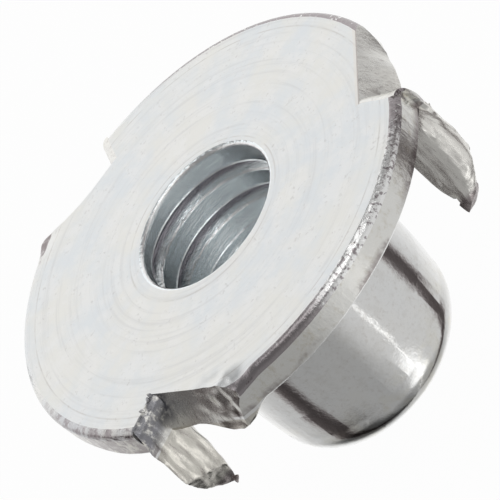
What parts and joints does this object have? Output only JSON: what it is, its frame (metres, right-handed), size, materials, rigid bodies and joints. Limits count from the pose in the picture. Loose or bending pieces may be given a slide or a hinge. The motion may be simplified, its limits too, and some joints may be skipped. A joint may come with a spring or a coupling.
{
  "type": "tee nut",
  "caption": "Pressed steel tee nut: round flange with folded prongs and a threaded barrel, driven into a board to give it a metal thread.",
  "frame": {"origin": "centre of the barrel's end, on the thread axis", "axes": "+Z along the thread axis from the barrel's end to the flange face; +X and +Y square to it, with the prongs at their own angles"},
  "size_m": [0.016, 0.0161, 0.0091],
  "materials": {
    "zinc_steel": "bright zinc plated, satin"
  },
  "bodies": {
    "root": {"tee_nut": "zinc_steel"}
  },
  "joints": []
}
